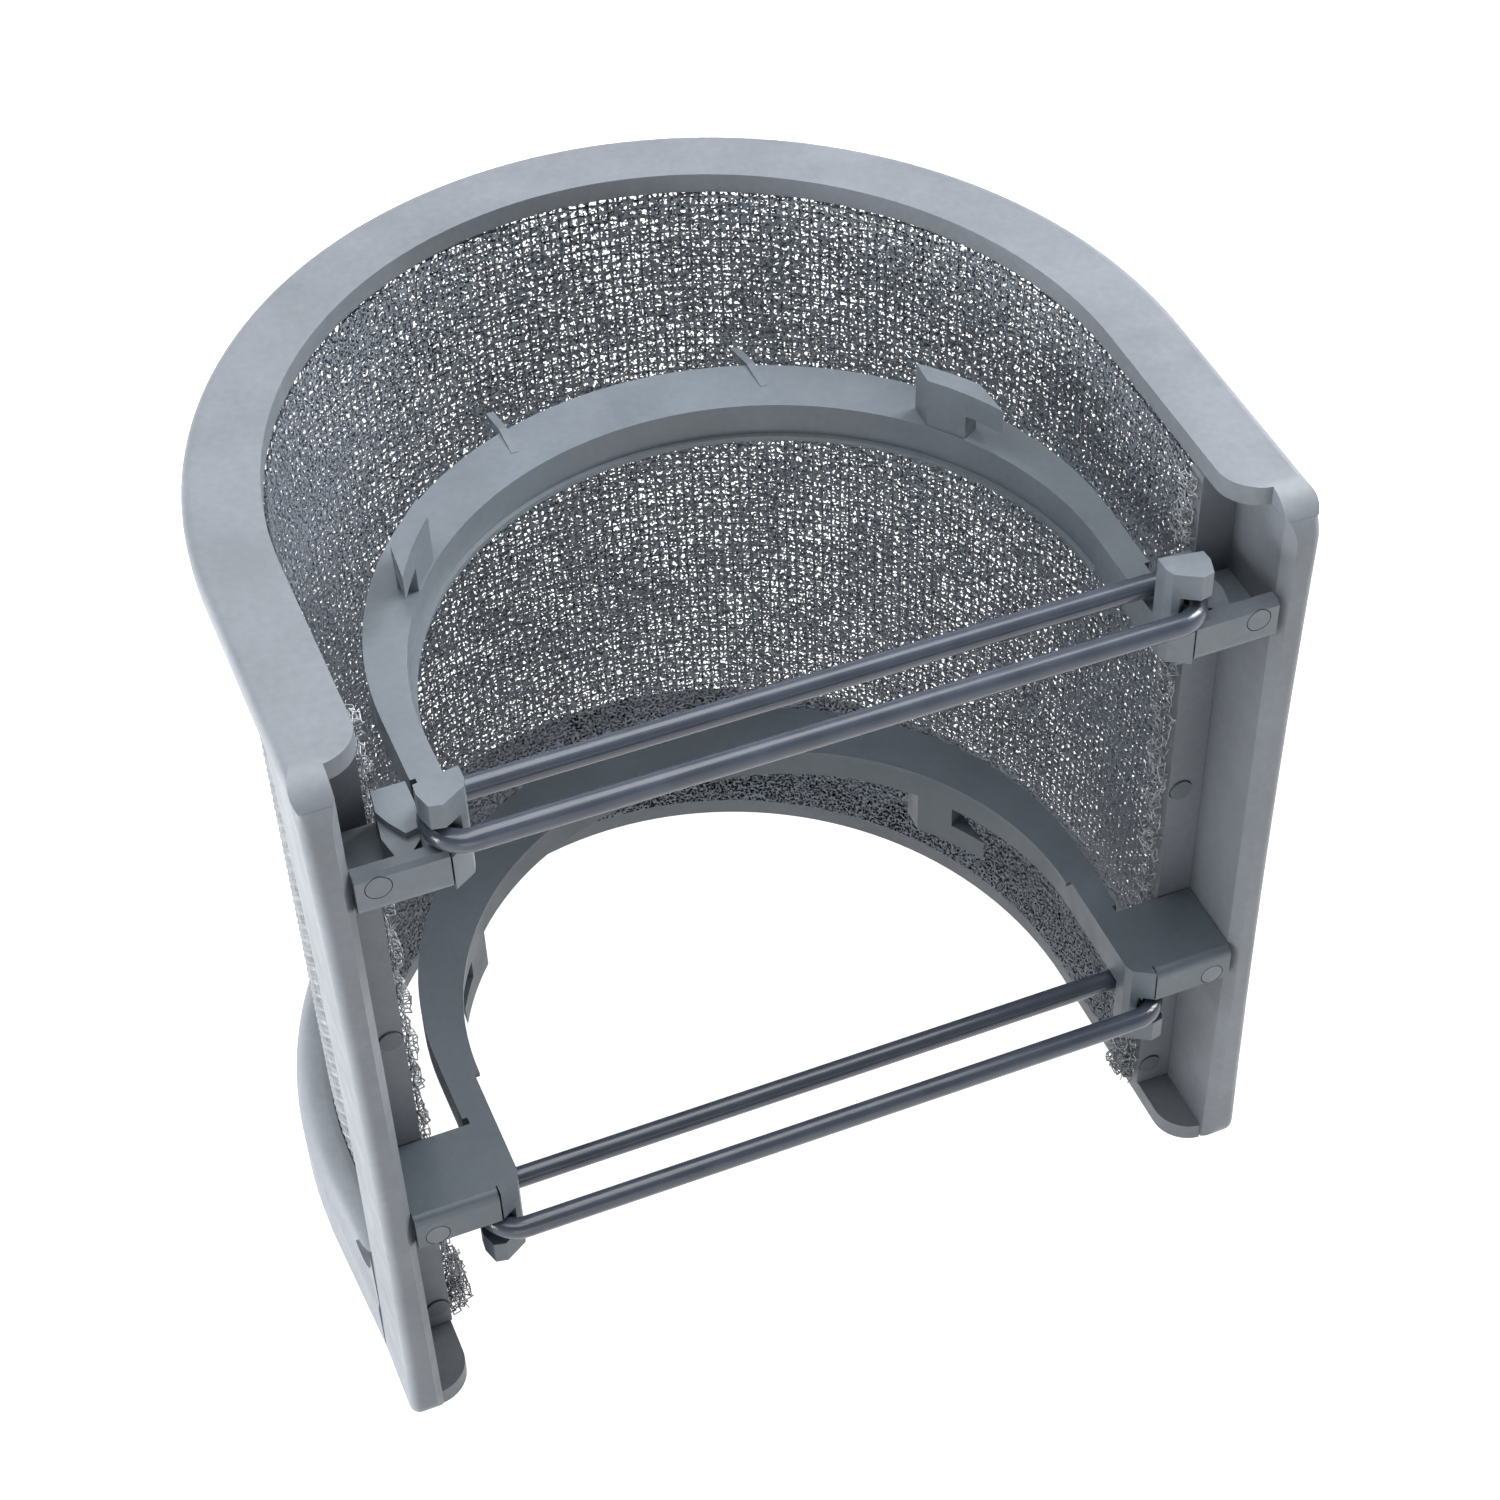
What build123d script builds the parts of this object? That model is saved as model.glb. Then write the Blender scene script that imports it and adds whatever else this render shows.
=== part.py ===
from build123d import *
import math
import os

# Pop filter that hangs on a studio microphone: a U-shaped screen of woven wire backed by foam,
# held in a moulded frame, with two C-shaped holders whose elastic bands pass behind the microphone.
# Frame: origin on the microphone axis in the base plane, +Z up, +Y towards the closed nose of the U.
# All sizes in millimetres.

os.makedirs("parts", exist_ok=True)

# --- driving dimensions: shell ---
half_width = 55.0            # outer half width of the straight sides
nose_depth = 58.1            # front semi-axis of the half ellipse that closes the U
bend_y = 15.8                # the straight sides end and the half ellipse starts here
rear_y = -17.5               # rear face of the two posts
height = 106.0
lip_width = 8.3              # how far both lips reach inwards from the outline
lip_thickness = 2.4
lip_edge_radius = 1.1
upper_lip_rear_y = -13.1
lower_lip_rear_y = -15.7
lip_corner_radius = 4.6
play = 0.1                   # gap left between neighbouring pieces
seam = 0.03                  # closed joint between posts and rims

# --- posts ---
post_depth = 11.0
post_inner_x = 50.9
post_waist_x = 54.3          # the posts are bowed in a little at half height
post_top_radius = 5.5
post_bottom_radius = 3.5
post_edge_radius = 1.2
rim_corner_radius = 2.2      # the rim's end corners, which run into the posts' rounded edges
post_bevel = (1.0, 1.4)      # bevel of the inner rear edge, in X and Y
post_foot_bevel = (1.3, 2.0)  # bevel of the outer foot edge, in X and Z
post_front_y = rear_y + post_depth

# --- skirt of the lower rim ---
skirt_flare = 1.0            # the skirt stands out from the sides and tapers back to the posts
skirt_taper_y = 12.0
skirt_height = 13.0
skirt_inset = 3.3
skirt_top_radius = 3.6
skirt_bottom_radius = 2.6
gusset_radius = 9.0          # rounded corner between the skirt and a post
gusset_top = 21.0
gusset_outer_x = 54.8

# --- screen layers, as insets from the outline ---
mesh_outer = 3.4
mesh_inner = 3.9
border_outer = 4.0
border_inner = 4.8
border_top = 20.0
foam_outer = 5.0
foam_inner = 9.0
layer_bottom = lip_thickness + play
layer_top = height - lip_thickness - play

# --- clamp rails ---
rail_inner_x = 46.5
rail_outer_x = 51.0
rail_rear_y = post_front_y + play
rail_front_y = rail_rear_y + 2.5
rail_pin_x = 48.0
rail_pin_heights = (6.0, 56.2)
rail_pin_length = 1.9
rail_pin_head = 0.25         # the rail pins stand proud by this much

# --- microphone holders ---
holder_mid_z = 63.3          # the two holders mirror each other about this height
ring_bottom = 88.3
ring_top = 92.9
ring_outer_radius = 41.4
ring_outer_y = 4.2
ring_inner_radius = 38.0
ring_leg_y = -5.6
bead_radius = 37.4           # thin bead round the lower inner edge of the ring
bead_height = 0.6
arm_top = 89.6
arm_front_y = -6.6
arm_rear_y = -16.4
arm_end_x = 50.8
tab_rear_y = -17.4
tab_inner_x = 41.0
slit_x = 40.8                # a short slit parts the tab from the heel
slit_length = 0.3
tab_top = 93.6
tab_chamfer = 0.5
tab_bottom_radius = 1.2
tab_thickness = 1.8
pin_x = 48.45
pin_z = 91.8
pin_radius = 1.45
pin_play = 0.1

# --- guards beside the spools: the whole outline and the raised front part ---
guard_top = 94.0
guard_step = 0.8
guard_outline = (
    (45.7, -6.6), (42.1, -6.6), (42.1, -10.5), (42.9, -14.0), (44.5, -15.7), (45.8, -16.1), (46.5, -12.6),
)
guard_raised = (
    (45.7, -6.6), (42.1, -6.6), (42.1, -10.5), (42.8, -13.2), (44.2, -13.5), (45.4, -11.4), (46.1, -9.6),
)

# --- spurs and hooks on the holder rings ---
spur_x = 14.95
spur_thickness = 0.9
spur_outline = (
    (38.7, 92.4), (38.7, 92.95), (43.0, 93.15), (47.9, 91.8), (47.9, 91.2), (41.5, 90.6), (41.5, 92.4),
)
hook_inner_radius = 38.15
hook_outer_radius = 40.5
hook_front_angles = (40.6, 44.1)     # slanted front end: inner and outer corner
hook_rear_angles = (25.7, 32.9)      # slanted tip: inner and outer corner
hook_root_angle = 33.3
hook_top = 99.2
hook_arm_height = 3.1

# --- spools and elastic bands ---
spool_outline = (
    (38.0, -13.0), (42.9, -13.8), (43.0, -15.2), (42.4, -17.2), (41.0, -17.5), (38.4, -15.9), (38.0, -14.8),
)
heel_outline = ((38.0, -5.0), (40.8, -5.0), (40.8, -17.4), (38.4, -15.9), (38.0, -14.8))
spool_x = 38.4
spool_y = -14.4
spool_radius = 2.08
cap_bottom = 97.3
cap_top = 100.5
band_radius = 1.25
band_end_radius = 3.45
band_z = 95.0


def u_plan(inset, rear):
    """Plan of the U set in from the outline: straight sides that run into half an ellipse."""
    half = half_width - inset
    with BuildSketch() as plan:
        with Locations((0, bend_y)):
            Ellipse(half, nose_depth - inset)
        with Locations((0, bend_y)):
            Rectangle(3 * half, 2 * nose_depth, align=(Align.CENTER, Align.MAX), mode=Mode.SUBTRACT)
        with Locations((0, bend_y)):
            Rectangle(2 * half, bend_y - rear, align=(Align.CENTER, Align.MAX))
    return plan.sketch


def u_wall(outer, inner, rear):
    """Plan of a wall that follows the U between two insets, open at the rear."""
    with BuildSketch() as plan:
        add(u_plan(outer, rear))
        add(u_plan(inner, rear - 5), mode=Mode.SUBTRACT)
    return plan.sketch


def hook_plan(rear_angles):
    """Plan of a hook layer on the ring, between its slanted front end and the given rear angles."""
    inner_start, outer_start = rear_angles
    inner_end, outer_end = hook_front_angles
    with BuildSketch() as plan:
        with BuildLine():
            inner = CenterArc((0, 0), hook_inner_radius, inner_start, inner_end - inner_start)
            outer = CenterArc((0, 0), hook_outer_radius, outer_start, outer_end - outer_start)
            Line(inner @ 0, outer @ 0)
            Line(inner @ 1, outer @ 1)
        make_face()
    return plan.sketch


def side_view():
    """Side view of the frame with its rounded rear corners, drawn in Y and Z."""
    front = bend_y + nose_depth + 5
    with BuildSketch() as view:
        Polygon((rear_y, 0), (front, 0), (front, height), (rear_y, height), align=None)
        rear_corners = view.vertices().group_by(Axis.X)[0].sort_by(Axis.Y)
        fillet(rear_corners[0], post_bottom_radius)
        fillet(view.vertices().group_by(Axis.Y)[-1].sort_by(Axis.X)[0], post_top_radius)
    return view.sketch


def lip_plan(outer, rear):
    """Plan of a lip whose two rear ends stop short of the posts' rear faces, inner corners rounded."""
    with BuildSketch() as plan:
        add(u_wall(outer, lip_width, rear))
        inner = half_width - lip_width
        ends = [v for v in plan.vertices() if v.Y < rear + 0.01 and abs(abs(v.X) - inner) < 0.01]
        fillet(ends, lip_corner_radius)
    return plan.sketch


def rim_edge_plan():
    """Plan of the upper rim's outer strip, whose rear ends have the same section as the posts."""
    with BuildSketch() as plan:
        add(u_wall(0, skirt_inset, rear_y))
        corners = [v for v in plan.vertices() if v.Y < rear_y + 0.01 and abs(v.X) > half_width - 0.01]
        fillet(corners, rim_corner_radius)
        for side in (-1, 1):
            Polygon(
                (side * post_inner_x, upper_lip_rear_y + 1),
                (side * post_inner_x, rear_y + post_bevel[1]),
                (side * (post_inner_x + post_bevel[0]), rear_y),
                (side * (half_width - rim_corner_radius), rear_y),
                (side * (half_width - rim_corner_radius), upper_lip_rear_y + 1),
                align=None,
            )
    return plan.sketch


def skirt_plan():
    """Plan of the skirt: a wall along the U whose outer face tapers in to meet the posts flush."""
    with BuildSketch() as plan:
        add(u_wall(-skirt_flare, skirt_inset, post_front_y + seam))
        for side in (-1, 1):
            Polygon(
                (side * half_width, post_front_y),
                (side * (half_width + 2 * skirt_flare), post_front_y),
                (side * (half_width + 2 * skirt_flare), skirt_taper_y),
                (side * (half_width + skirt_flare), skirt_taper_y),
                align=None, mode=Mode.SUBTRACT,
            )
    return plan.sketch


def outline_edges(builder, z, flare):
    """Edges of the U's outer outline at one height: the straight sides and the curve of the nose."""
    nose = bend_y + nose_depth + flare
    level = [e for e in builder.edges() if abs(e.center().Z - z) < 0.01]
    return [
        e for e in level
        if abs((e @ 0.5).X) > half_width - 0.1 or abs((e @ 0.5).Y - nose) < 0.01
    ]


frame_side = side_view()
upper_lip = lip_plan(skirt_inset, upper_lip_rear_y)
upper_edge = rim_edge_plan()
lower_lip = lip_plan(skirt_inset, lower_lip_rear_y)
lower_edge = skirt_plan()
mesh_plan = u_wall(mesh_outer, mesh_inner, post_front_y + play)
border_plan = u_wall(border_outer, border_inner, rail_front_y + play)
foam_plan = u_wall(foam_outer, foam_inner, rail_front_y + play)

# Upper rim: flat inward lip with a rounded outer edge; its ends lie on top of the posts.
with BuildPart() as upper_rim:
    with BuildSketch(Plane.XY.offset(height - lip_thickness)):
        add(upper_lip)
        add(upper_edge)
    extrude(amount=lip_thickness)
    fillet(outline_edges(upper_rim, height, 0), lip_edge_radius)
    with BuildSketch(Plane.YZ.offset(-half_width - 5)):
        add(frame_side)
    extrude(amount=2 * half_width + 10, mode=Mode.INTERSECT)
upper_rim.part.label = "upper_rim"

# Lower rim: inward lip with a rounded skirt standing up around the foot of the screen. The skirt meets
# the front of the posts flush and turns up to them in rounded corners.
with BuildPart() as lower_rim:
    with BuildSketch():
        add(lower_lip)
        add(lower_edge)
    extrude(amount=lip_thickness)
    with BuildSketch(Plane.XY.offset(lip_thickness)):
        add(lower_edge)
    extrude(amount=skirt_height - lip_thickness)
    fillet(outline_edges(lower_rim, skirt_height, skirt_flare), skirt_top_radius)
    fillet(outline_edges(lower_rim, 0, skirt_flare), skirt_bottom_radius)
    for side in (-1, 1):
        with Locations((side * (post_inner_x - seam + half_width) / 2, rear_y, 0)):
            Box(
                half_width - post_inner_x + seam, post_depth + seam, lip_thickness,
                align=(Align.CENTER, Align.MIN, Align.MIN), mode=Mode.SUBTRACT,
            )
    for side in (-1, 1):
        with BuildSketch(Plane.YZ.offset(side * (half_width - skirt_inset))):
            with BuildLine():
                start = post_front_y + seam
                end = start + gusset_radius
                reach = gusset_radius * math.sqrt(0.5)
                ThreePointArc(
                    (start, gusset_top), (end - reach, gusset_top - reach), (end, gusset_top - gusset_radius)
                )
                Polyline(
                    (end, gusset_top - gusset_radius), (end, lip_thickness), (start, lip_thickness),
                    (start, gusset_top),
                )
            make_face()
        extrude(amount=side * (gusset_outer_x - half_width + skirt_inset))
lower_rim.part.label = "lower_rim"

# Posts: upright strips at the two open ends of the U, rounded at the rear corners.
with BuildPart() as right_post:
    post_top = height - lip_thickness - seam
    with BuildSketch(Plane.XZ.offset(-rear_y)):
        with BuildLine():
            ThreePointArc((half_width, 0), (post_waist_x, height / 2), (half_width, post_top))
            Polyline((half_width, post_top), (post_inner_x, post_top), (post_inner_x, 0), (half_width, 0))
        make_face()
    extrude(amount=-post_depth)
    with BuildSketch(Plane.YZ):
        add(frame_side)
    extrude(amount=half_width + 5, mode=Mode.INTERSECT)
    outer_rear_edge = right_post.edges().group_by(Axis.Y)[0].sort_by(Axis.X)[-1]
    fillet(outer_rear_edge, post_edge_radius)
    with BuildSketch():
        Polygon(
            (post_inner_x, rear_y),
            (post_inner_x + post_bevel[0], rear_y),
            (post_inner_x, rear_y + post_bevel[1]),
            align=None,
        )
    extrude(amount=post_top, mode=Mode.SUBTRACT)
    with BuildSketch(Plane.XZ.offset(-rear_y)):
        Polygon(
            (half_width - post_foot_bevel[0], 0),
            (half_width, 0),
            (half_width, post_foot_bevel[1]),
            align=None,
        )
    extrude(amount=-post_depth, mode=Mode.SUBTRACT)
right_post.part.label = "right_post"

with BuildPart() as left_post:
    add(mirror(right_post.part, about=Plane.YZ, mode=Mode.PRIVATE))
left_post.part.label = "left_post"

# Screen layers, from the outside in: woven wire, a border strip round its foot, and the foam liner.
with BuildPart() as wire_mesh:
    with BuildSketch(Plane.XY.offset(layer_bottom)):
        add(mesh_plan)
    extrude(amount=layer_top - layer_bottom)
wire_mesh.part.label = "wire_mesh"

with BuildPart() as lower_border:
    with BuildSketch(Plane.XY.offset(layer_bottom)):
        add(border_plan)
    extrude(amount=border_top - layer_bottom)
lower_border.part.label = "lower_border"

with BuildPart() as foam_liner:
    with BuildSketch(Plane.XY.offset(layer_bottom)):
        add(foam_plan)
    extrude(amount=layer_top - layer_bottom)
foam_liner.part.label = "foam_liner"

# Clamp rails: strips that close the rear edges of the screen, with blind holes for their pins.
with BuildPart() as right_rail:
    with BuildSketch(Plane.XY.offset(layer_bottom)):
        with Locations((rail_inner_x, rail_rear_y)):
            Rectangle(rail_outer_x - rail_inner_x, rail_front_y - rail_rear_y, align=(Align.MIN, Align.MIN))
    extrude(amount=layer_top - layer_bottom)
    with BuildSketch(Plane.XZ.offset(-rail_rear_y)):
        with Locations([(rail_pin_x, z) for z in rail_pin_heights]):
            Circle(pin_radius)
    extrude(amount=-(rail_pin_length + pin_play), mode=Mode.SUBTRACT)
right_rail.part.label = "right_rail"

with BuildPart() as left_rail:
    add(mirror(right_rail.part, about=Plane.YZ, mode=Mode.PRIVATE))
left_rail.part.label = "left_rail"

# Holder features of the right-hand side; the holders use them twice, mirrored.
with BuildPart() as holder_side:
    # arm out to the post
    with BuildSketch(Plane.XY.offset(ring_bottom)):
        with Locations((slit_x - 1, arm_rear_y)):
            Rectangle(arm_end_x - slit_x + 1, arm_front_y - arm_rear_y, align=(Align.MIN, Align.MIN))
        with Locations((slit_x, arm_rear_y)):
            Rectangle(tab_inner_x - slit_x, slit_length, align=(Align.MIN, Align.MIN), mode=Mode.SUBTRACT)
    extrude(amount=arm_top - ring_bottom)
    # heel that carries the spool
    with BuildSketch(Plane.XY.offset(ring_bottom)):
        Polygon(*heel_outline, align=None)
    extrude(amount=ring_top - ring_bottom)
    # stepped guard beside the spool
    with BuildSketch(Plane.XY.offset(ring_bottom + 1)):
        Polygon(*guard_outline, align=None)
    extrude(amount=guard_top - guard_step - ring_bottom - 1)
    with BuildSketch(Plane.XY.offset(ring_bottom + 1)):
        Polygon(*guard_raised, align=None)
    extrude(amount=guard_top - ring_bottom - 1)
    # upright tab with its pin hole, flush with the rear of the post
    with BuildSketch(Plane.YZ.offset(tab_inner_x)) as tab_profile:
        Polygon(
            (tab_rear_y, ring_bottom),
            (tab_rear_y + tab_thickness, ring_bottom),
            (tab_rear_y + tab_thickness, tab_top),
            (tab_rear_y + tab_chamfer, tab_top),
            (tab_rear_y, tab_top - tab_chamfer),
            align=None,
        )
        fillet(tab_profile.vertices().group_by(Axis.X)[0].sort_by(Axis.Y)[0], tab_bottom_radius)
    extrude(amount=arm_end_x - tab_inner_x)
    with BuildSketch(Plane.XZ.offset(-tab_rear_y)):
        with Locations((pin_x, pin_z)):
            Circle(pin_radius)
    extrude(amount=-tab_thickness, mode=Mode.SUBTRACT)
    # spool: rounded neck and overhanging cap
    with BuildSketch(Plane.XY.offset(ring_bottom + 1)):
        Polygon(*spool_outline, align=None)
        with Locations((spool_x, spool_y)):
            Circle(spool_radius, mode=Mode.INTERSECT)
    extrude(amount=cap_bottom - ring_bottom - 1)
    with BuildSketch(Plane.XY.offset(cap_bottom)):
        Polygon(*spool_outline, align=None)
    extrude(amount=cap_top - cap_bottom)
    # spur that reaches out towards the screen
    with BuildSketch(Plane.YZ.offset(spur_x - spur_thickness / 2)):
        Polygon(*spur_outline, align=None)
    extrude(amount=spur_thickness)
    # hook: a root standing on the ring and an arm reaching back over it
    with BuildSketch(Plane.XY.offset(ring_top - 0.5)):
        add(hook_plan((hook_root_angle, hook_root_angle)))
    extrude(amount=hook_top - ring_top + 0.5)
    with BuildSketch(Plane.XY.offset(hook_top - hook_arm_height)):
        add(hook_plan(hook_rear_angles))
    extrude(amount=hook_arm_height)

# Holders: a C-shaped ring between two arms; the lower one is the upper one turned over.
with BuildPart() as upper_holder:
    with BuildSketch(Plane.XY.offset(ring_bottom)):
        with Locations((0, ring_outer_y)):
            Circle(ring_outer_radius)
        with Locations((0, ring_leg_y)):
            Rectangle(2 * ring_outer_radius, ring_outer_y - ring_leg_y, align=(Align.CENTER, Align.MIN))
        with Locations((0, ring_leg_y)):
            Rectangle(3 * ring_outer_radius, ring_outer_radius, align=(Align.CENTER, Align.MAX),
                      mode=Mode.SUBTRACT)
        Circle(ring_inner_radius, mode=Mode.SUBTRACT)
        Rectangle(2 * ring_inner_radius, ring_outer_radius, align=(Align.CENTER, Align.MAX),
                  mode=Mode.SUBTRACT)
    extrude(amount=ring_top - ring_bottom)
    with BuildSketch(Plane.XY.offset(ring_bottom)):
        Circle(ring_inner_radius + 0.3)
        Circle(bead_radius, mode=Mode.SUBTRACT)
        Rectangle(3 * ring_inner_radius, 2 * ring_inner_radius, align=(Align.CENTER, Align.MAX),
                  mode=Mode.SUBTRACT)
    extrude(amount=bead_height)
    add(holder_side.part)
    add(mirror(holder_side.part, about=Plane.YZ, mode=Mode.PRIVATE))
upper_holder.part.label = "upper_holder"

with BuildPart() as lower_holder:
    add(mirror(upper_holder.part, about=Plane.XY.offset(holder_mid_z), mode=Mode.PRIVATE))
lower_holder.part.label = "lower_holder"

# Elastic bands: closed loops round the two spools of a holder.
with BuildPart() as upper_band:
    with BuildLine(Plane.XY.offset(band_z)):
        Line((-spool_x, spool_y + band_end_radius), (spool_x, spool_y + band_end_radius))
        ThreePointArc(
            (spool_x, spool_y + band_end_radius),
            (spool_x + band_end_radius, spool_y),
            (spool_x, spool_y - band_end_radius),
        )
        Line((spool_x, spool_y - band_end_radius), (-spool_x, spool_y - band_end_radius))
        ThreePointArc(
            (-spool_x, spool_y - band_end_radius),
            (-spool_x - band_end_radius, spool_y),
            (-spool_x, spool_y + band_end_radius),
        )
    with BuildSketch(Plane.YZ):
        with Locations((spool_y + band_end_radius, band_z)):
            Circle(band_radius)
    sweep()
upper_band.part.label = "upper_band"

with BuildPart() as lower_band:
    add(mirror(upper_band.part, about=Plane.XY.offset(holder_mid_z), mode=Mode.PRIVATE))
lower_band.part.label = "lower_band"

# Pins: one through each holder tab, two in each rail, the latter with their heads a little proud.
with BuildPart() as holder_pins:
    for z in (pin_z, 2 * holder_mid_z - pin_z):
        with BuildSketch(Plane.XZ.offset(-tab_rear_y)):
            with Locations((pin_x, z), (-pin_x, z)):
                Circle(pin_radius - pin_play)
        extrude(amount=-tab_thickness)
holder_pins.part.label = "holder_pins"

with BuildPart() as rail_pins:
    with BuildSketch(Plane.XZ.offset(rail_pin_head - rail_rear_y)):
        with Locations([(side * rail_pin_x, z) for side in (-1, 1) for z in rail_pin_heights]):
            Circle(pin_radius - pin_play)
    extrude(amount=-(rail_pin_length + rail_pin_head))
rail_pins.part.label = "rail_pins"

export_step(upper_rim.part, "parts/upper_rim.step")
export_step(lower_rim.part, "parts/lower_rim.step")
export_step(left_post.part, "parts/left_post.step")
export_step(right_post.part, "parts/right_post.step")
export_step(wire_mesh.part, "parts/wire_mesh.step")
export_step(lower_border.part, "parts/lower_border.step")
export_step(foam_liner.part, "parts/foam_liner.step")
export_step(left_rail.part, "parts/left_rail.step")
export_step(right_rail.part, "parts/right_rail.step")
export_step(upper_holder.part, "parts/upper_holder.step")
export_step(lower_holder.part, "parts/lower_holder.step")
export_step(upper_band.part, "parts/upper_band.step")
export_step(lower_band.part, "parts/lower_band.step")
export_step(holder_pins.part, "parts/holder_pins.step")
export_step(rail_pins.part, "parts/rail_pins.step")

for piece in (
    upper_rim, lower_rim, left_post, right_post, wire_mesh, lower_border, foam_liner, left_rail, right_rail,
    upper_holder, lower_holder, upper_band, lower_band, holder_pins, rail_pins,
):
    box = piece.part.bounding_box()
    print(
        piece.part.label, len(piece.part.solids()), piece.part.is_valid,
        [round(v, 2) for v in (*box.min, *box.max)], round(piece.part.volume, 1),
    )
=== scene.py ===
import math

import bpy
import numpy as np
from mathutils import Matrix, Vector

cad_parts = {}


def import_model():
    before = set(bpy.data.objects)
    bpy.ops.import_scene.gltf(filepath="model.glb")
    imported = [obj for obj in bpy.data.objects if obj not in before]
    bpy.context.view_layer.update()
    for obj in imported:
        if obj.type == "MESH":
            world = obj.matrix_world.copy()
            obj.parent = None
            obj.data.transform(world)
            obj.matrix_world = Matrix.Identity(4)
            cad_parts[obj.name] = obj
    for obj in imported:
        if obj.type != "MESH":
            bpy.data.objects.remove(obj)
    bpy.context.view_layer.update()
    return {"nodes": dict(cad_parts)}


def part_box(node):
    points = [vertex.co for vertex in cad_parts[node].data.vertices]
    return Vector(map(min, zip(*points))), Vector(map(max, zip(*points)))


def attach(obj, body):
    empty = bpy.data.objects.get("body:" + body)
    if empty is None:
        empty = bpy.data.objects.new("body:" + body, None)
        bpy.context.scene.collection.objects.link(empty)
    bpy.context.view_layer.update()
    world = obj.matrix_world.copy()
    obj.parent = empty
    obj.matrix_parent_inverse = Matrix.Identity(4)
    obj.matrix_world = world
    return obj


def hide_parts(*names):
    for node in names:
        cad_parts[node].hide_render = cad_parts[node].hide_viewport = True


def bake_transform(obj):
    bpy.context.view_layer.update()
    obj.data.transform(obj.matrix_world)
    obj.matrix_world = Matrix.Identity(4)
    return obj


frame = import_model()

# Pop filter for a studio microphone. Metres, +Z up, +Y towards the closed nose of the U.
# The moulded parts and pins come from the frame and are only given materials. The woven wire, the foam
# and the elastic bands are made here and take the place of their plain CAD nodes.

MM = 0.001
nodes = frame["nodes"]


# ---------------------------------------------------------------- plan of the U

def plan_of(node):
    """Half width, nose and rear end of a U-shaped CAD wall, at its outer face."""
    low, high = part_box(node)
    return float(high[0]), float(high[1]), float(low[1])


SHELL_BEND = 15.8 * MM           # where the straight sides run into the half ellipse
CURVE_SAMPLES = 4001


def u_path(half, nose_y, rear_y, step):
    """Points and outward normals, evenly spaced along the U from its right end to its left end."""
    depth = nose_y - SHELL_BEND
    turn = np.linspace(0, math.pi, CURVE_SAMPLES)
    curve = np.stack([half * np.cos(turn), SHELL_BEND + depth * np.sin(turn)], 1)
    points = np.vstack([[half, rear_y], curve, [-half, rear_y]])
    length = np.concatenate([[0], np.cumsum(np.linalg.norm(np.diff(points, axis=0), axis=1))])
    count = int(round(length[-1] / step))
    wanted = np.linspace(0, length[-1], count + 1)
    x = np.interp(wanted, length, points[:, 0])
    y = np.interp(wanted, length, points[:, 1])
    tangent = np.gradient(np.stack([x, y], 1), axis=0)
    tangent /= np.linalg.norm(tangent, axis=1)[:, None]
    normal = np.stack([tangent[:, 1], -tangent[:, 0]], 1)
    return np.stack([x, y], 1), normal


# ---------------------------------------------------------------- mesh helpers

def wires(lines, normals, radius):
    """Four-sided tubes along many lines of equal point count; returns vertices and quads."""
    lines = np.asarray(lines)
    count, length = lines.shape[:2]
    along = np.gradient(lines, axis=1)
    along /= np.linalg.norm(along, axis=2)[..., None]
    side = np.cross(along, normals)
    side /= np.linalg.norm(side, axis=2)[..., None]
    out = np.cross(side, along)
    ring = [side * radius, out * radius, -side * radius, -out * radius]
    vertices = np.stack([lines + r for r in ring], 2).reshape(-1, 3)
    base = (np.arange(count)[:, None] * length + np.arange(length - 1)[None, :]).reshape(-1) * 4
    quads = []
    for k in range(4):
        j = (k + 1) % 4
        quads.append(np.stack([base + k, base + j, base + j + 4, base + k + 4], 1))
    return vertices, np.vstack(quads)


def build(name, parts):
    """One smooth object from several (vertices, quads) pairs, written through the fast mesh arrays."""
    offset = 0
    all_vertices, all_quads = [], []
    for vertices, quads in parts:
        all_vertices.append(vertices)
        all_quads.append(quads + offset)
        offset += len(vertices)
    vertices = np.vstack(all_vertices)
    quads = np.vstack(all_quads)
    mesh = bpy.data.meshes.new(name)
    mesh.vertices.add(len(vertices))
    mesh.vertices.foreach_set("co", vertices.astype(np.float32).ravel())
    mesh.loops.add(quads.size)
    mesh.loops.foreach_set("vertex_index", quads.astype(np.int32).ravel())
    mesh.polygons.add(len(quads))
    mesh.polygons.foreach_set("loop_start", np.arange(0, quads.size, 4, dtype=np.int32))
    mesh.polygons.foreach_set("use_smooth", [True] * len(quads))
    mesh.update(calc_edges=True)
    mesh.validate()
    piece = bpy.data.objects.new(name, mesh)
    bpy.context.scene.collection.objects.link(piece)
    return piece


# ---------------------------------------------------------------- material helpers

MIX_A, MIX_B, MIX_RESULT = 6, 7, 2       # the colour sockets of a mix node


def scaled(tone, factor):
    return [c * factor for c in tone]


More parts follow.
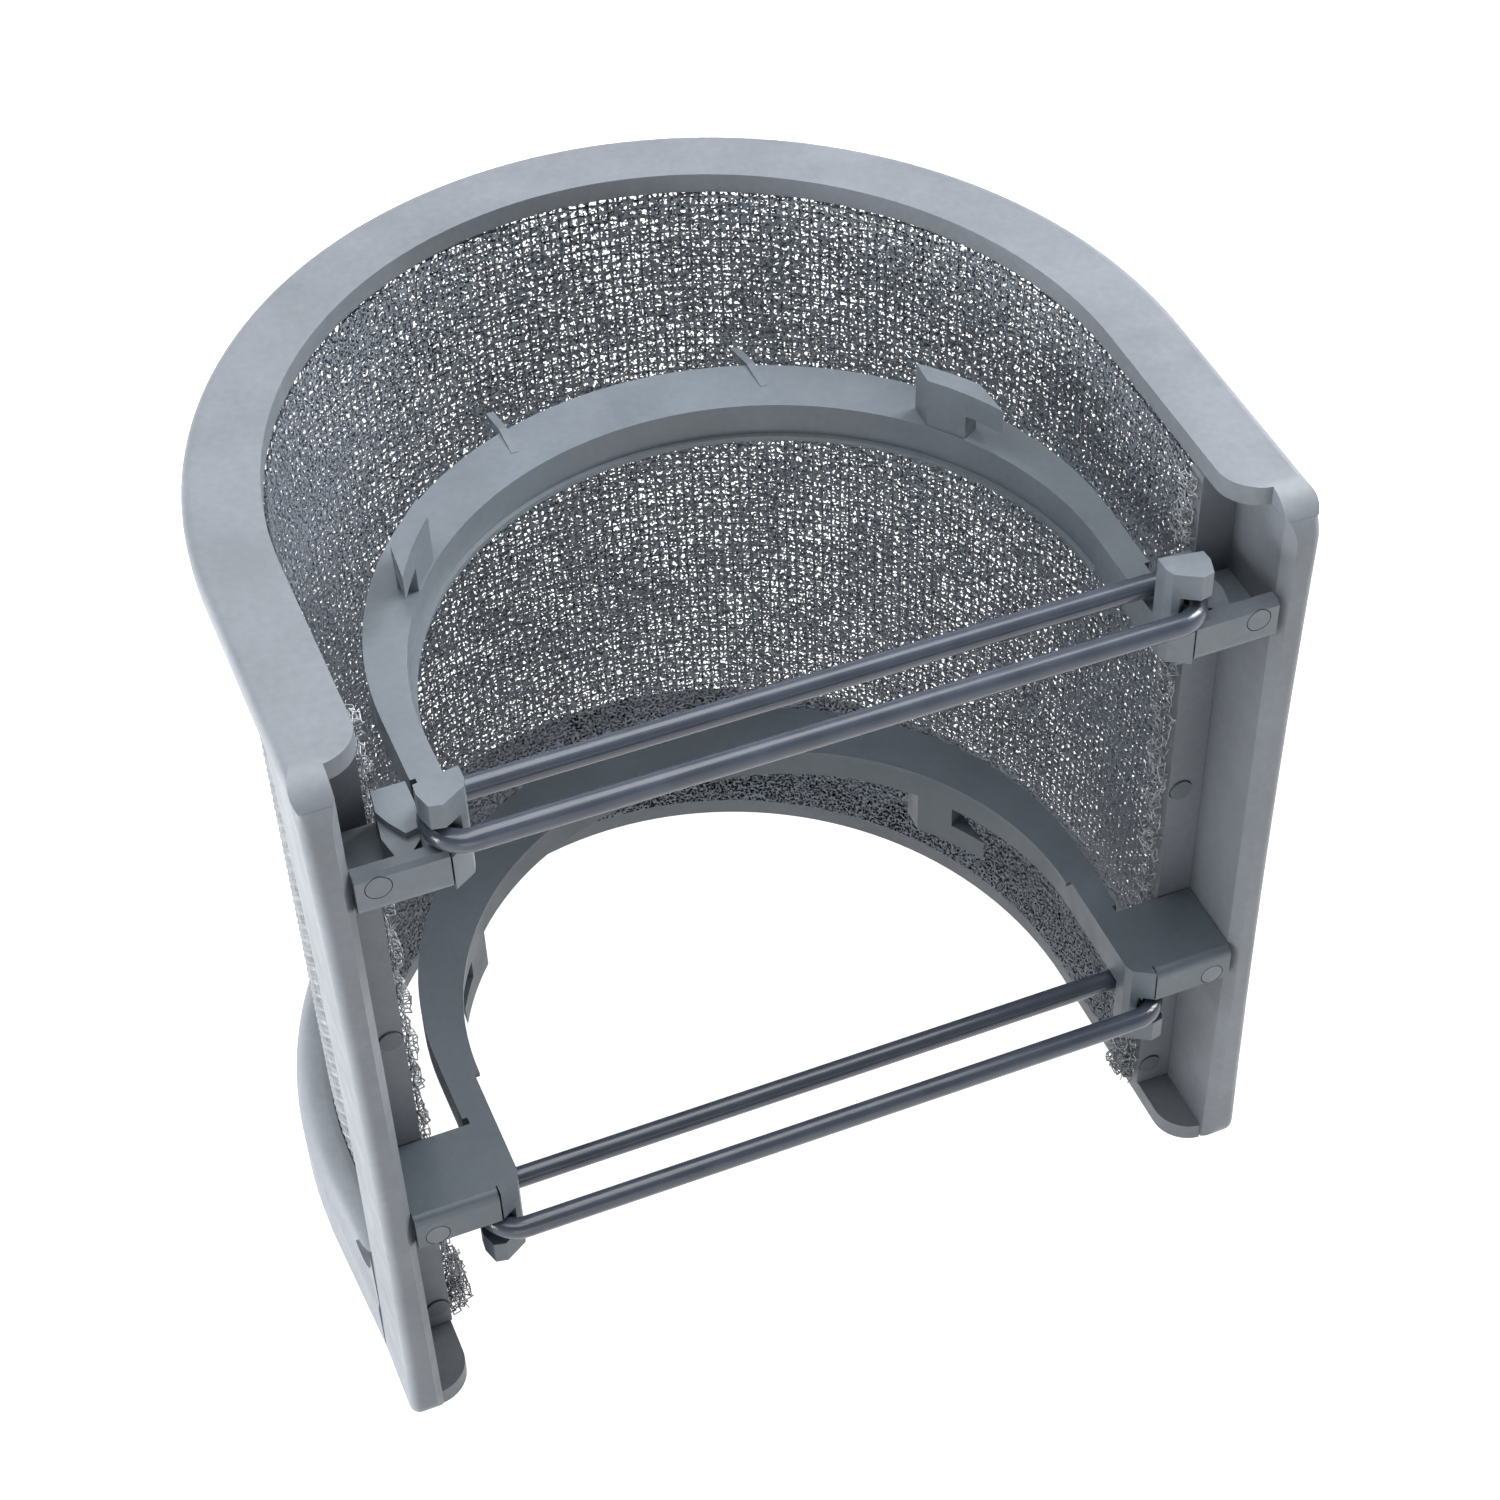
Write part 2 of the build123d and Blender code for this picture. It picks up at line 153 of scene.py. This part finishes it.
class Nodes:
    """A new material, with short ways to add nodes and to feed their sockets."""

    def __init__(self, name):
        self.material = bpy.data.materials.new(name)
        self.material.use_nodes = True
        self.tree = self.material.node_tree
        self.shader = self.tree.nodes["Principled BSDF"]

    def add(self, kind, inputs=None, **settings):
        node = self.tree.nodes.new(kind)
        for key, value in settings.items():
            setattr(node, key, value)
        for key, value in (inputs or {}).items():
            self.feed(node, key, value)
        return node

    def feed(self, node, key, value):
        """Links a socket to an input, or sets the input to a plain value."""
        if isinstance(value, bpy.types.NodeSocket):
            self.tree.links.new(value, node.inputs[key])
        else:
            node.inputs[key].default_value = value

    def position(self):
        return self.add("ShaderNodeTexCoord").outputs["Object"]

    def noise(self, where, size, detail=3.0, roughness=0.55):
        """Noise whose blobs are about this size in metres."""
        return self.add(
            "ShaderNodeTexNoise",
            {"Vector": where, "Scale": 1.0 / size, "Detail": detail, "Roughness": roughness},
        ).outputs["Fac"]

    def span(self, value, low, high, to_low, to_high):
        """Maps one range of values onto another."""
        return self.add(
            "ShaderNodeMapRange",
            {"Value": value, "From Min": low, "From Max": high, "To Min": to_low, "To Max": to_high},
        ).outputs["Result"]

    def math(self, operation, a, b=0.0):
        return self.add("ShaderNodeMath", {0: a, 1: b}, operation=operation).outputs[0]

    def shade(self, factor, dark, light):
        """Colour between two tones, through the colour sockets of a mix node."""
        node = self.add("ShaderNodeMix", data_type="RGBA")
        self.feed(node, "Factor", factor)
        self.feed(node, MIX_A, (*dark, 1.0))
        self.feed(node, MIX_B, (*light, 1.0))
        return node.outputs[MIX_RESULT]

    def bump(self, height, distance, strength=1.0, normal=None):
        inputs = {"Height": height, "Distance": distance, "Strength": strength}
        if normal is not None:
            inputs["Normal"] = normal
        return self.add("ShaderNodeBump", inputs).outputs["Normal"]

    def finish(self, **inputs):
        for key, value in inputs.items():
            self.feed(self.shader, key.replace("_", " "), value)
        return self.material


def moulded_plastic(name, tone, rough=0.46, streaks=0.0):
    """Satin moulded plastic: spark-eroded grain, cloudy tone, faint rubbed spots and flow streaks."""
    n = Nodes(name)
    where = n.position()
    cloud = n.noise(where, 14 * MM, 2.0)
    speck = n.noise(where, 0.9 * MM, 3.0)
    tone_factor = n.math("ADD", n.math("MULTIPLY", cloud, 0.6), n.math("MULTIPLY", speck, 0.4))
    colour = n.shade(n.span(tone_factor, 0.35, 0.65, 0.0, 1.0), scaled(tone, 0.88), scaled(tone, 1.12))
    grain = n.noise(where, 0.22 * MM, 2.0, 0.6)
    normal = n.bump(grain, 0.02 * MM, 0.35)
    if streaks:
        xyz = n.add("ShaderNodeSeparateXYZ", {0: where})
        x, y, z = (xyz.outputs[k] for k in range(3))
        squares = n.math("ADD", n.math("MULTIPLY", x, x), n.math("MULTIPLY", y, y))
        radius = n.math("SQRT", squares)
        angle = n.math("MULTIPLY", n.math("ARCTAN2", y, x), 9 * MM)
        swept = n.add("ShaderNodeCombineXYZ", {0: radius, 1: angle, 2: z}).outputs[0]
        flow = n.noise(swept, 0.55 * MM, 3.0)
        normal = n.bump(flow, 0.05 * MM, streaks, normal)
    rough_factor = n.span(n.noise(where, 5 * MM, 4.0), 0.3, 0.7, rough - 0.06, rough + 0.08)
    return n.finish(Base_Color=colour, Roughness=rough_factor, Normal=normal, IOR=1.47)


def coated_wire(name, tone):
    """Coated steel wire with a slightly uneven coat."""
    n = Nodes(name)
    where = n.position()
    coat = n.span(n.noise(where, 3 * MM, 4.0), 0.35, 0.65, 0.0, 1.0)
    colour = n.shade(coat, scaled(tone, 0.8), scaled(tone, 1.3))
    normal = n.bump(n.noise(where, 0.12 * MM, 2.0), 0.01 * MM, 0.5)
    return n.finish(Base_Color=colour, Roughness=0.42, Metallic=0.35, Normal=normal)


def open_cell_foam(name, tone, pore, openness):
    """Sheet of open-cell foam: round pores cut clean through it, matt struts in between."""
    n = Nodes(name)
    where = n.position()
    cells = n.add(
        "ShaderNodeTexVoronoi", {"Vector": where, "Scale": 1.0 / pore, "Randomness": 1.0},
        voronoi_dimensions="3D", feature="F1",
    ).outputs["Distance"]
    drift = n.span(n.noise(where, 9 * MM, 2.0), 0.3, 0.7, -0.05, 0.05)
    edge = n.math("ADD", drift, openness)
    wall = n.math("GREATER_THAN", cells, edge)
    colour = n.shade(n.span(cells, 0.3, 0.8, 0.0, 1.0), scaled(tone, 0.8), scaled(tone, 1.4))
    normal = n.bump(n.noise(where, 0.3 * MM, 3.0), 0.05 * MM, 0.5)
    return n.finish(Base_Color=colour, Roughness=0.62, Alpha=wall, Normal=normal)


def foam_strut(name, tone):
    """Bare struts of the foam's cut edge: matt, lighter where the cell walls were torn."""
    n = Nodes(name)
    where = n.position()
    torn = n.span(n.noise(where, 1.2 * MM, 3.0), 0.4, 0.65, 0.0, 1.0)
    colour = n.shade(torn, scaled(tone, 0.5), scaled(tone, 2.2))
    normal = n.bump(n.noise(where, 0.15 * MM, 2.0), 0.03 * MM, 0.8)
    return n.finish(Base_Color=colour, Roughness=0.55, Normal=normal)


def elastic_rubber(name, tone):
    """Extruded rubber cord: soft gloss, fine lines along its length, dusty patches."""
    n = Nodes(name)
    where = n.position()
    xyz = n.add("ShaderNodeSeparateXYZ", {0: where})
    x, y, z = (xyz.outputs[k] for k in range(3))
    drawn_out = n.add("ShaderNodeCombineXYZ", {0: n.math("MULTIPLY", x, 0.03), 1: y, 2: z}).outputs[0]
    lines = n.noise(drawn_out, 0.35 * MM, 3.0)
    dust = n.span(n.noise(where, 6 * MM, 4.0), 0.35, 0.7, 0.0, 1.0)
    colour = n.shade(dust, scaled(tone, 0.85), scaled(tone, 1.2))
    normal = n.bump(lines, 0.05 * MM, 0.5)
    return n.finish(Base_Color=colour, Roughness=0.24, Normal=normal, IOR=1.52)


SHELL = moulded_plastic("shell_plastic", (0.100, 0.110, 0.125))
# Inner plastic: the shell plastic made darker for the lower border and the rail pins, as painted shade
# of the inside of the U.
INNER_SHADED = moulded_plastic("inner_plastic", (0.070, 0.080, 0.092))
HOLDER = moulded_plastic("holder_plastic", (0.078, 0.091, 0.106), rough=0.40, streaks=0.35)
# Lower holder: the holder plastic made darker, as painted shade of the lower holder deep in the U. The
# real plastic is probably the same as the upper holder's.
HOLDER_LOW_SHADED = moulded_plastic("lower_holder_painted_shade", (0.052, 0.064, 0.077), rough=0.42, streaks=0.35)
WIRE = coated_wire("mesh_wire", (0.150, 0.160, 0.172))
FOAM = open_cell_foam("foam", (0.090, 0.103, 0.122), 0.36 * MM, 0.60)
STRUT = foam_strut("foam_strut", (0.150, 0.158, 0.170))
RUBBER = elastic_rubber("band_rubber", (0.030, 0.036, 0.050))


def dress(node, material):
    """Gives a CAD node its only material."""
    slots = nodes[node].data.materials
    slots.clear()
    slots.append(material)


for name in ("upper_rim", "lower_rim", "left_post", "right_post", "left_rail", "right_rail"):
    dress(name, SHELL)
# The lower border and the rail pins take the darker inner plastic, which is painted shade.
for name in ("lower_border", "rail_pins"):
    dress(name, INNER_SHADED)
for name in ("upper_holder", "holder_pins"):
    dress(name, HOLDER)
# The lower holder takes the darker copy of the holder plastic, which is painted shade.
dress("lower_holder", HOLDER_LOW_SHADED)


# ---------------------------------------------------------------- woven wire

WIRE_PITCH = 1.2 * MM
WIRE_RADIUS = 0.17 * MM
WIRE_DEPTH = 0.25 * MM           # of the weave's middle below the wall's outer face
WIRE_LIFT = 0.125 * MM           # how far the crimp carries a wire out of that middle
SAMPLES_PER_PITCH = 2


def woven_wire():
    """Plain weave of crimped wires bent round the U, inside the thickness of its CAD wall."""
    half, nose, rear = plan_of("wire_mesh")
    low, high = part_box("wire_mesh")
    fine = WIRE_PITCH / SAMPLES_PER_PITCH
    path, normal = u_path(half - WIRE_DEPTH, nose - WIRE_DEPTH, rear + WIRE_RADIUS, fine)
    flat_normal = np.column_stack([normal, np.zeros(len(normal))])

    height = high[2] - low[2] - 2 * WIRE_RADIUS
    rows = int(round(height / WIRE_PITCH))
    levels = low[2] + WIRE_RADIUS + height * np.arange(rows + 1) / rows
    s = np.arange(len(path)) / SAMPLES_PER_PITCH
    weft, weft_normals = [], []
    for row, z in enumerate(levels):
        wave = np.cos(math.pi * (s + row)) * WIRE_LIFT
        weft.append(np.column_stack([path + normal * wave[:, None], np.full(len(path), z)]))
        weft_normals.append(flat_normal)

    fine_rows = rows * SAMPLES_PER_PITCH
    t = np.arange(fine_rows + 1) / SAMPLES_PER_PITCH
    z = low[2] + WIRE_RADIUS + height * t / rows
    warp, warp_normals = [], []
    for column, k in enumerate(range(0, len(path), SAMPLES_PER_PITCH)):
        wave = -np.cos(math.pi * (t + column)) * WIRE_LIFT
        line = np.column_stack([path[k] + normal[k] * wave[:, None], z])
        warp.append(line)
        warp_normals.append(np.tile(flat_normal[k], (len(line), 1)))
    return build("woven_wire", [
        wires(weft, np.asarray(weft_normals), WIRE_RADIUS),
        wires(warp, np.asarray(warp_normals), WIRE_RADIUS),
    ])


screen = woven_wire()
screen.data.materials.append(WIRE)
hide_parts("wire_mesh")
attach(screen, "frame")


# ---------------------------------------------------------------- foam

FOAM_INSETS = (0.30, 0.40, 0.50, 3.50, 3.60, 3.70)       # sheets below the outer face, in mm
FOAM_STEP = 1.0 * MM
FOAM_LEVELS = 41
FOAM_REAR_MARGIN = 0.1 * MM
FOAM_EDGE_MARGIN = 0.05 * MM


def foam_sheets():
    """Open-cell foam as two groups of thin porous sheets, near its outer and its inner face."""
    half, nose, rear = plan_of("foam_liner")
    low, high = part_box("foam_liner")
    parts = []
    levels = np.linspace(low[2] + FOAM_EDGE_MARGIN, high[2] - FOAM_EDGE_MARGIN, FOAM_LEVELS)
    for inset in FOAM_INSETS:
        path, _ = u_path(half - inset * MM, nose - inset * MM, rear + FOAM_REAR_MARGIN, FOAM_STEP)
        count = len(path)
        vertices = np.vstack([np.column_stack([path, np.full(count, z)]) for z in levels])
        rows = np.arange(len(levels) - 1)[:, None] * count
        base = (rows + np.arange(count - 1)[None, :]).reshape(-1)
        quads = np.stack([base, base + 1, base + count + 1, base + count], 1)
        parts.append((vertices, quads))
    return build("foam_sheets", parts)


foam = foam_sheets()
foam.data.materials.append(FOAM)
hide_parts("foam_liner")
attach(foam, "frame")


WEB_SEEDS = {1: 7, -1: 11}       # right and left
WEB_PITCH = 0.75 * MM
WEB_RADIUS = 0.075 * MM
WEB_COLUMNS, WEB_LAYERS = 8, 5
WEB_JITTER = 0.38                # of the pitch
WEB_LINKED = 0.85                # share of the possible struts that are there
WEB_REACH = 1.4 * MM             # how far the torn edge stands out from the rail
WEB_SPARE = 2.2 * MM             # room for the bulge near the foot
WEB_INSET = 0.4 * MM             # from the rail's rear end and from the foam's lower edge
WEB_GAP = 0.05 * MM              # to the rail's inner face
BULGE_REACH = 1.8 * MM
BULGE_HEIGHT, BULGE_SPREAD = 8, 5.5                      # in mm
RIPPLE_REACH = 0.35 * MM
RIPPLE_RATE = 0.9                # radians per mm
WEB_ASIDE = (0.31, 0.52, 0.79)   # a direction that no strut is likely to run in


def foam_web(side):
    """Torn struts of the foam's cut rear edge, which stands proud beside the clamp rail."""
    rng = np.random.default_rng(WEB_SEEDS[side])
    low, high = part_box("foam_liner")
    rail_low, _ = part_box("right_rail")
    inner = float(rail_low[0]) - WEB_REACH
    rear = float(rail_low[1]) + WEB_INSET
    counts = (WEB_COLUMNS, WEB_LAYERS, int((high[2] - low[2]) / WEB_PITCH))
    grid = np.stack(np.meshgrid(*[np.arange(c) for c in counts], indexing="ij"), -1).astype(float)
    points = grid * WEB_PITCH + rng.uniform(-WEB_JITTER, WEB_JITTER, grid.shape) * WEB_PITCH
    points += (inner - WEB_SPARE, rear, float(low[2]) + WEB_INSET)
    height = points[..., 2] / MM
    bulge = BULGE_REACH * np.exp(-((height - BULGE_HEIGHT) / BULGE_SPREAD) ** 2)
    ripple = RIPPLE_REACH * np.sin(height * RIPPLE_RATE)
    edge = inner - bulge + ripple
    kept = points[..., 0] > edge
    kept &= points[..., 0] < float(rail_low[0]) - WEB_GAP
    starts, ends = [], []
    for axis in range(3):
        here = [slice(None)] * 3
        there = [slice(None)] * 3
        here[axis] = slice(0, -1)
        there[axis] = slice(1, None)
        both = kept[tuple(here)] & kept[tuple(there)]
        both &= rng.random(both.shape) < WEB_LINKED
        starts.append(points[tuple(here)][both])
        ends.append(points[tuple(there)][both])
    start, end = np.vstack(starts), np.vstack(ends)
    start[:, 0] *= side
    end[:, 0] *= side
    lines = np.stack([start, end], 1)
    aside = np.tile(WEB_ASIDE, (len(lines), 2, 1))
    piece = build(f"foam_edge_{'right' if side > 0 else 'left'}", [wires(lines, aside, WEB_RADIUS)])
    piece.data.materials.append(STRUT)
    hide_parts("foam_liner")
    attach(piece, "frame")


for side in (-1, 1):
    foam_web(side)


# ---------------------------------------------------------------- elastic bands

STRAND_POINTS = 60
TURN_POINTS = 25
BAND_SIDES = 20


def band_half(node, side):
    """One half of an elastic loop: the strands from the middle to the spool and the turn round it."""
    low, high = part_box(node)
    radius = float(high[2] - low[2]) / 2
    z = float(high[2] + low[2]) / 2
    turn_radius = float(high[1] - low[1]) / 2 - radius
    y = float(high[1] + low[1]) / 2
    spool = float(high[0]) - turn_radius - radius
    strand = np.linspace(0, spool, STRAND_POINTS)
    turn = np.linspace(math.pi / 2, -math.pi / 2, TURN_POINTS)[1:-1]
    points = [(x, y + turn_radius) for x in strand]
    points += [(spool + turn_radius * math.cos(a), y + turn_radius * math.sin(a)) for a in turn]
    points += [(x, y - turn_radius) for x in strand[::-1]]
    line = np.array([(side * px, py, z) for px, py in points])
    along = np.gradient(line, axis=0)
    along /= np.linalg.norm(along, axis=1)[:, None]
    across = np.cross(along, (0, 0, 1))
    up = np.array((0, 0, 1.0))
    angles = np.arange(BAND_SIDES) * 2 * math.pi / BAND_SIDES
    rings = [line + radius * (math.cos(a) * across + math.sin(a) * up) for a in angles]
    vertices = np.stack(rings, 1).reshape(-1, 3)
    base = np.arange(len(line) - 1) * BAND_SIDES
    quads = []
    for k in range(BAND_SIDES):
        j = (k + 1) % BAND_SIDES
        quads.append(np.stack([base + k, base + j, base + BAND_SIDES + j, base + BAND_SIDES + k], 1))
    name = f"{node}_{'right' if side > 0 else 'left'}"
    piece = build(name, [(vertices, np.vstack(quads))])
    piece.data.materials.append(RUBBER)
    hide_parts(node)
    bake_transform(piece)


for node in ("upper_band", "lower_band"):
    for side in (-1, 1):
        band_half(node, side)


# ---------------------------------------------------------------- floor, light, camera

LIGHTS = (                       # name, size, centre, target, watts
    ("key_light", (0.5, 0.5), (0.72, 0.12, 0.62), (0, 0.02, 0.09), 24.0),
    ("overhead", (0.9, 0.9), (-0.10, 0.15, 0.9), (0, 0.02, 0.05), 14.0),
    ("left_panel", (0.5, 0.4), (-0.85, 0.10, 0.06), (0, 0.02, 0.06), 27.0),
    ("rear_fill", (0.6, 0.4), (-0.20, -0.85, 0.20), (0, 0.02, 0.05), 1.5),
)


def soft_light(name, size, centre, target, power):
    """Rectangular area light that faces its target."""
    light = bpy.data.lights.new(name, "AREA")
    light.shape = "RECTANGLE"
    light.size, light.size_y = size
    light.energy = power
    lamp = bpy.data.objects.new(name, light)
    lamp.location = centre
    lamp.rotation_mode = "QUATERNION"
    lamp.rotation_quaternion = (Vector(target) - Vector(centre)).to_track_quat("-Z", "Y")
    bpy.context.scene.collection.objects.link(lamp)


FLOOR_REACH = 3.0


def floor():
    """Large white floor that glows, so that it stays free of grey shadows."""
    corners = np.array([(-1, -1, 0), (1, -1, 0), (1, 1, 0), (-1, 1, 0)]) * FLOOR_REACH
    piece = build("floor", [(corners, np.array([(0, 1, 2, 3)]))])
    n = Nodes("floor")
    where = n.position()
    colour = n.shade(n.noise(where, 0.2, 2.0), (0.24, 0.24, 0.24), (0.26, 0.26, 0.26))
    n.feed(n.shader, "Emission Color", (1.0, 1.0, 1.0, 1.0))
    piece.data.materials.append(n.finish(Base_Color=colour, Roughness=0.9, Emission_Strength=1.0))


HORIZON, HORIZON_TOP = (0.92, 0.94, 0.95), 0.22          # tone, and the height where it starts to fade
SKY, SKY_FOOT = (0.150, 0.172, 0.182), 0.40              # tone, and the height from where it is all sky


def world():
    """Bright horizon like the floor, fading to a dimmer sky; heights on the unit sphere."""
    surroundings = bpy.data.worlds.new("studio")
    surroundings.use_nodes = True
    tree = surroundings.node_tree
    background = tree.nodes["Background"]
    direction = tree.nodes.new("ShaderNodeTexCoord").outputs["Generated"]
    split = tree.nodes.new("ShaderNodeSeparateXYZ")
    tree.links.new(direction, split.inputs[0])
    ramp = tree.nodes.new("ShaderNodeMapRange")
    ramp.inputs["From Min"].default_value = HORIZON_TOP
    ramp.inputs["From Max"].default_value = SKY_FOOT
    tree.links.new(split.outputs["Z"], ramp.inputs["Value"])
    mix = tree.nodes.new("ShaderNodeMix")
    mix.data_type = "RGBA"
    tree.links.new(ramp.outputs["Result"], mix.inputs["Factor"])
    mix.inputs[MIX_A].default_value = (*HORIZON, 1.0)
    mix.inputs[MIX_B].default_value = (*SKY, 1.0)
    tree.links.new(mix.outputs[MIX_RESULT], background.inputs["Color"])
    background.inputs["Strength"].default_value = 1.0
    bpy.context.scene.world = surroundings


CAMERA_AT = (-85.0 * MM, -218.8 * MM, 308.8 * MM)
AZIMUTH, ELEVATION, ROLL = math.radians(-22.94), math.radians(47.9), math.radians(-0.29)
LENS, SHIFT_X, SHIFT_Y = 72.8, -0.060, 0.109


def camera():
    """Long lens from the open side, left of the middle and well above."""
    data = bpy.data.cameras.new("camera")
    data.sensor_width = 36.0
    data.lens = LENS
    data.shift_x = SHIFT_X
    data.shift_y = SHIFT_Y
    data.clip_start = 0.01
    data.clip_end = 20.0
    view = bpy.data.objects.new("camera", data)
    flat = math.cos(ELEVATION)
    back = Vector((math.sin(AZIMUTH) * flat, -math.cos(AZIMUTH) * flat, math.sin(ELEVATION)))
    view.location = CAMERA_AT
    view.rotation_mode = "QUATERNION"
    level = (-back).to_track_quat("-Z", "Y")
    view.rotation_quaternion = level @ Matrix.Rotation(ROLL, 4, "Z").to_quaternion()
    bpy.context.scene.collection.objects.link(view)
    bpy.context.scene.camera = view


world()
floor()
for light in LIGHTS:
    soft_light(*light)
camera()
bpy.context.scene.view_settings.view_transform = "Standard"
